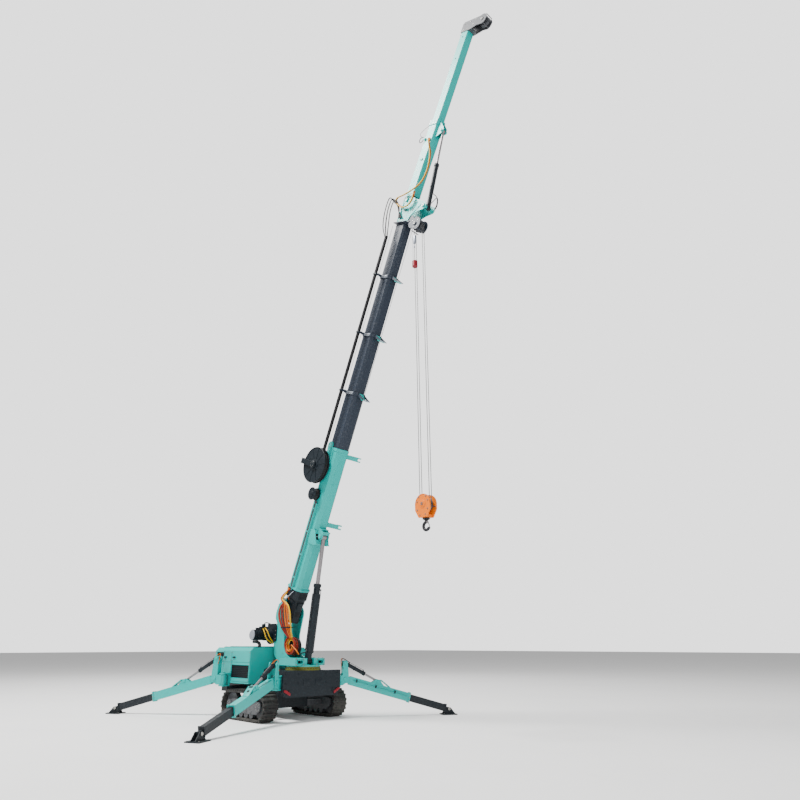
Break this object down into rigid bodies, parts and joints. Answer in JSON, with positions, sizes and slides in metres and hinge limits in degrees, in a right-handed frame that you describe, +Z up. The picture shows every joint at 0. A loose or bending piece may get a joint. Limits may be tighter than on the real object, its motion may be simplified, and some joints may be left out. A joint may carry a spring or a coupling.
{
  "type": "tracked spider crane",
  "caption": "Compact crawler crane on four outrigger legs, with a slewing column, telescopic boom, luffing jib and hook block.",
  "frame": {"origin": "on the ground under the slewing axis", "axes": "+Z up, front of the crawler towards -Y, the machine's left towards +X"},
  "size_m": [5.477, 8.6586, 12.986],
  "materials": {
    "teal_paint": "satin",
    "black_paint": "satin",
    "slate_paint": "satin",
    "grey_paint": "satin",
    "orange_paint": "gloss",
    "ring_paint": "satin",
    "forged_steel": "satin",
    "bright_rod": "polished",
    "wire_rope": "bare",
    "track_rubber": "matte"
  },
  "bodies": {
    "root": {"chassis_frame": "black_paint", "front_beam": "black_paint", "leg_brackets": "teal_paint", "slew_ring": "ring_paint", "track_right": "track_rubber", "track_left": "track_rubber", "track_frame_right": "grey_paint", "track_frame_left": "grey_paint", "engine_housing": "teal_paint", "housing_grilles": "black_paint", "engine_block": "grey_paint"},
    "column": {"turret": "teal_paint", "winch_frame": "black_paint", "winch_drum": "grey_paint"},
    "luff_barrel": {"luff_barrel": "black_paint"},
    "luff_rod": {"luff_rod": "bright_rod"},
    "boom_1": {"boom_foot": "black_paint", "boom_1": "teal_paint", "boom_1_fittings": "teal_paint", "stow_brackets": "teal_paint", "hose_reels": "black_paint"},
    "boom_2": {"boom_2": "slate_paint"},
    "boom_3": {"boom_3": "slate_paint"},
    "boom_4": {"boom_4": "slate_paint"},
    "boom_5": {"boom_5": "slate_paint", "boom_head": "slate_paint", "head_sheaves": "grey_paint", "jib_knuckle": "teal_paint"},
    "jib_barrel": {"jib_barrel": "black_paint"},
    "jib_rod": {"jib_rod": "bright_rod"},
    "jib_1": {"jib_1": "teal_paint"},
    "jib_2": {"jib_2": "teal_paint", "jib_head": "grey_paint"},
    "falls": {"rope_falls": "wire_rope"},
    "hook": {"hook_block": "orange_paint", "block_sheaves": "grey_paint", "hook": "forged_steel"},
    "leg_fr_yoke": {"leg_fr_yoke": "teal_paint"},
    "leg_fr_beam": {"leg_fr_beam": "teal_paint"},
    "leg_fr_inner": {"leg_fr_inner": "black_paint"},
    "leg_fr_barrel": {"leg_fr_barrel": "black_paint"},
    "leg_fr_rod": {"leg_fr_rod": "bright_rod"},
    "leg_fl_yoke": {"leg_fl_yoke": "teal_paint"},
    "leg_fl_beam": {"leg_fl_beam": "teal_paint"},
    "leg_fl_inner": {"leg_fl_inner": "black_paint"},
    "leg_fl_barrel": {"leg_fl_barrel": "black_paint"},
    "leg_fl_rod": {"leg_fl_rod": "bright_rod"},
    "leg_rr_yoke": {"leg_rr_yoke": "teal_paint"},
    "leg_rr_beam": {"leg_rr_beam": "teal_paint"},
    "leg_rr_inner": {"leg_rr_inner": "black_paint"},
    "leg_rr_barrel": {"leg_rr_barrel": "black_paint"},
    "leg_rr_rod": {"leg_rr_rod": "bright_rod"},
    "leg_rl_yoke": {"leg_rl_yoke": "teal_paint"},
    "leg_rl_beam": {"leg_rl_beam": "teal_paint"},
    "leg_rl_inner": {"leg_rl_inner": "black_paint"},
    "leg_rl_barrel": {"leg_rl_barrel": "black_paint"},
    "leg_rl_rod": {"leg_rl_rod": "bright_rod"}
  },
  "joints": [
    {"name": "slew", "type": "hinge", "parent": "root", "child": "column", "pos_m": [0, 0, 0], "axis": [0, 0, 1], "continuous": true},
    {"name": "boom_luff", "type": "hinge", "parent": "column", "child": "boom_1", "pos_m": [0, 0.446, 1.771], "axis": [-1, 0, 0], "range_deg": [-51, 12]},
    {"name": "luff_barrel_tilt", "type": "hinge", "parent": "column", "child": "luff_barrel", "pos_m": [0, -0.13, 0.945], "axis": [-1, 0, 0], "range_deg": [-37.33, 9.17]},
    {"name": "luff_rod_slide", "type": "slide", "parent": "luff_barrel", "child": "luff_rod", "axis": [0, -0.1512, 0.9885], "range_m": [-0.7472, 0.1781]},
    {"name": "boom_extend", "type": "slide", "parent": "boom_1", "child": "boom_2", "axis": [0, -0.4019, 0.9157], "range_m": [-0.96, 1.1]},
    {"name": "boom_extend_3", "type": "slide", "parent": "boom_2", "child": "boom_3", "axis": [0, -0.4019, 0.9157], "range_m": [-0.965, 1.105]},
    {"name": "boom_extend_4", "type": "slide", "parent": "boom_3", "child": "boom_4", "axis": [0, -0.4019, 0.9157], "range_m": [-0.965, 1.105]},
    {"name": "boom_extend_5", "type": "slide", "parent": "boom_4", "child": "boom_5", "axis": [0, -0.4019, 0.9157], "range_m": [-0.965, 1.105]},
    {"name": "jib_luff", "type": "hinge", "parent": "boom_5", "child": "jib_1", "pos_m": [0, -2.95448, 9.51751], "axis": [-1, 0, 0], "range_deg": [-55, 4]},
    {"name": "jib_barrel_tilt", "type": "hinge", "parent": "boom_5", "child": "jib_barrel", "pos_m": [0, -3.39968, 9.10365], "axis": [-1, 0, 0], "range_deg": [-53.79, 4.38]},
    {"name": "jib_rod_slide", "type": "slide", "parent": "jib_barrel", "child": "jib_rod", "axis": [0, -0.2843, 0.9587], "range_m": [-0.5641, 0.0438]},
    {"name": "jib_extend", "type": "slide", "parent": "jib_1", "child": "jib_2", "axis": [0, -0.4602, 0.8878], "range_m": [-1.2, 0]},
    {"name": "hook_plumb", "type": "hinge", "parent": "boom_5", "child": "falls", "pos_m": [0, -3.14546, 8.83301], "axis": [-1, 0, 0], "range_deg": [-12.5, 51.5]},
    {"name": "hoist", "type": "slide", "parent": "falls", "child": "hook", "axis": [0, 0, -1], "range_m": [-4.9, 2.8], "deforming": ["rope_falls"]},
    {"name": "leg_fr_swing", "type": "hinge", "parent": "root", "child": "leg_fr_yoke", "pos_m": [-0.66, -0.17, 0.6], "axis": [0, 0, -1], "range_deg": [-26, 28]},
    {"name": "leg_fr_lift", "type": "hinge", "parent": "leg_fr_yoke", "child": "leg_fr_beam", "pos_m": [-0.78303, -0.2368, 0.633], "axis": [-0.4772, 0.8788, 0], "range_deg": [-8, 40]},
    {"name": "leg_fr_extend", "type": "slide", "parent": "leg_fr_beam", "child": "leg_fr_inner", "axis": [-0.8492, -0.4611, -0.2574], "range_m": [-0.64, 0]},
    {"name": "leg_fr_barrel_tilt", "type": "hinge", "parent": "leg_fr_yoke", "child": "leg_fr_barrel", "pos_m": [-0.78303, -0.2368, 0.905], "axis": [-0.4772, 0.8788, 0], "range_deg": [-7.8, 36.98]},
    {"name": "leg_fr_rod_slide", "type": "slide", "parent": "leg_fr_barrel", "child": "leg_fr_rod", "axis": [-0.7857, -0.4266, -0.4479], "range_m": [-0.1849, 0.0394]},
    {"name": "leg_fl_swing", "type": "hinge", "parent": "root", "child": "leg_fl_yoke", "pos_m": [0.66, -0.17, 0.6], "axis": [0, 0, 1], "range_deg": [-26, 28]},
    {"name": "leg_fl_lift", "type": "hinge", "parent": "leg_fl_yoke", "child": "leg_fl_beam", "pos_m": [0.78303, -0.2368, 0.633], "axis": [-0.4772, -0.8788, 0], "range_deg": [-8, 40]},
    {"name": "leg_fl_extend", "type": "slide", "parent": "leg_fl_beam", "child": "leg_fl_inner", "axis": [0.8492, -0.4611, -0.2574], "range_m": [-0.64, 0]},
    {"name": "leg_fl_barrel_tilt", "type": "hinge", "parent": "leg_fl_yoke", "child": "leg_fl_barrel", "pos_m": [0.78303, -0.2368, 0.905], "axis": [-0.4772, -0.8788, 0], "range_deg": [-7.8, 36.98]},
    {"name": "leg_fl_rod_slide", "type": "slide", "parent": "leg_fl_barrel", "child": "leg_fl_rod", "axis": [0.7857, -0.4266, -0.4479], "range_m": [-0.1849, 0.0394]},
    {"name": "leg_rr_swing", "type": "hinge", "parent": "root", "child": "leg_rr_yoke", "pos_m": [-0.745, 1.52, 0.6], "axis": [0, 0, 1], "range_deg": [-18, 45]},
    {"name": "leg_rr_lift", "type": "hinge", "parent": "leg_rr_yoke", "child": "leg_rr_beam", "pos_m": [-0.8253, 1.63468, 0.633], "axis": [0.8192, 0.5736, 0], "range_deg": [-8, 40]},
    {"name": "leg_rr_extend", "type": "slide", "parent": "leg_rr_beam", "child": "leg_rr_inner", "axis": [-0.5543, 0.7916, -0.2574], "range_m": [-0.64, 0]},
    {"name": "leg_rr_barrel_tilt", "type": "hinge", "parent": "leg_rr_yoke", "child": "leg_rr_barrel", "pos_m": [-0.8253, 1.63468, 0.985], "axis": [0.8192, 0.5736, 0], "range_deg": [-7.12, 33.6]},
    {"name": "leg_rr_rod_slide", "type": "slide", "parent": "leg_rr_barrel", "child": "leg_rr_rod", "axis": [-0.4857, 0.6937, -0.5318], "range_m": [-0.232, 0.0488]},
    {"name": "leg_rl_swing", "type": "hinge", "parent": "root", "child": "leg_rl_yoke", "pos_m": [0.745, 1.52, 0.6], "axis": [0, 0, -1], "range_deg": [-18, 45]},
    {"name": "leg_rl_lift", "type": "hinge", "parent": "leg_rl_yoke", "child": "leg_rl_beam", "pos_m": [0.8253, 1.63468, 0.633], "axis": [0.8192, -0.5736, 0], "range_deg": [-8, 40]},
    {"name": "leg_rl_extend", "type": "slide", "parent": "leg_rl_beam", "child": "leg_rl_inner", "axis": [0.5543, 0.7916, -0.2574], "range_m": [-0.64, 0]},
    {"name": "leg_rl_barrel_tilt", "type": "hinge", "parent": "leg_rl_yoke", "child": "leg_rl_barrel", "pos_m": [0.8253, 1.63468, 0.985], "axis": [0.8192, -0.5736, 0], "range_deg": [-7.12, 33.6]},
    {"name": "leg_rl_rod_slide", "type": "slide", "parent": "leg_rl_barrel", "child": "leg_rl_rod", "axis": [0.4857, 0.6937, -0.5318], "range_m": [-0.232, 0.0488]}
  ],
  "couplings": [
    {"joint": "luff_barrel_tilt", "follows": "boom_luff", "ratio": 0.72222},
    {"joint": "luff_rod_slide", "follows": "boom_luff", "m_per_rad": 0.83606},
    {"joint": "boom_extend_3", "follows": "boom_extend", "ratio": 1},
    {"joint": "boom_extend_4", "follows": "boom_extend", "ratio": 1},
    {"joint": "boom_extend_5", "follows": "boom_extend", "ratio": 1},
    {"joint": "jib_barrel_tilt", "follows": "jib_luff", "ratio": 0.96897},
    {"joint": "jib_rod_slide", "follows": "jib_luff", "m_per_rad": 0.58452},
    {"joint": "hook_plumb", "follows": "boom_luff", "ratio": -1},
    {"joint": "leg_fr_barrel_tilt", "follows": "leg_fr_lift", "ratio": 0.91198},
    {"joint": "leg_fr_rod_slide", "follows": "leg_fr_lift", "m_per_rad": -0.26058},
    {"joint": "leg_fl_barrel_tilt", "follows": "leg_fl_lift", "ratio": 0.91198},
    {"joint": "leg_fl_rod_slide", "follows": "leg_fl_lift", "m_per_rad": -0.26058},
    {"joint": "leg_rr_barrel_tilt", "follows": "leg_rr_lift", "ratio": 0.82755},
    {"joint": "leg_rr_rod_slide", "follows": "leg_rr_lift", "m_per_rad": -0.32806},
    {"joint": "leg_rl_barrel_tilt", "follows": "leg_rl_lift", "ratio": 0.82755},
    {"joint": "leg_rl_rod_slide", "follows": "leg_rl_lift", "m_per_rad": -0.32806}
  ]
}
